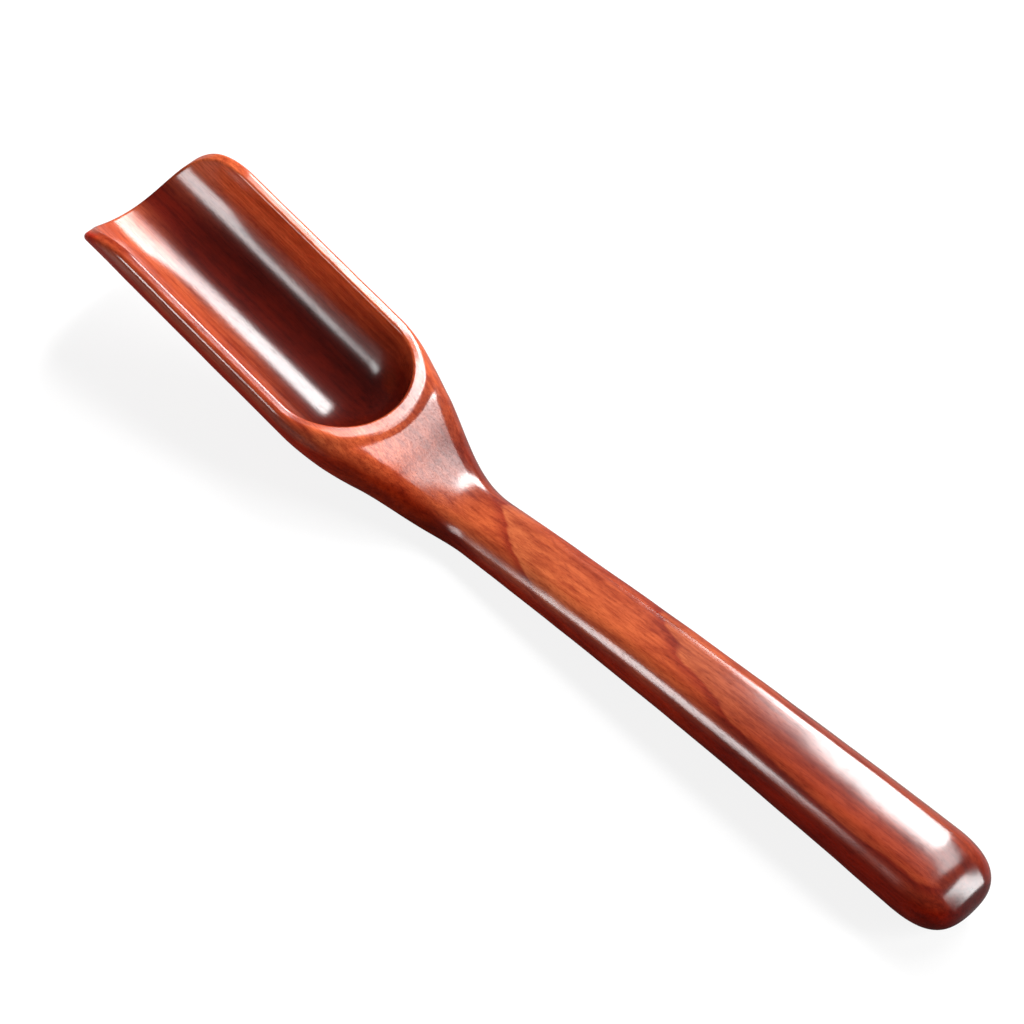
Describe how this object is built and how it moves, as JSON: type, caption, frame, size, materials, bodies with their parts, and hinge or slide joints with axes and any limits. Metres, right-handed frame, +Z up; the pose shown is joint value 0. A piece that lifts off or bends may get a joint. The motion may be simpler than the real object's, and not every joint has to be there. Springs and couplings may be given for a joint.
{
  "type": "tea scoop",
  "caption": "Carved hardwood tea scoop: a tilted half-pipe trough with a round rear wall, a waisted shoulder and a slim handle that swells to a rounded butt, for lifting dry tea leaves.",
  "frame": {"origin": "centre of the bounding box on the plane that the scoop lies on", "axes": "+X along the length from the mouth of the trough to the butt of the handle, +Z up out of the open trough"},
  "size_m": [0.185, 0.0282, 0.0231],
  "materials": {
    "red_hardwood": "clear gloss coat over figured red hardwood"
  },
  "bodies": {
    "root": {"scoop": "red_hardwood"}
  },
  "joints": []
}
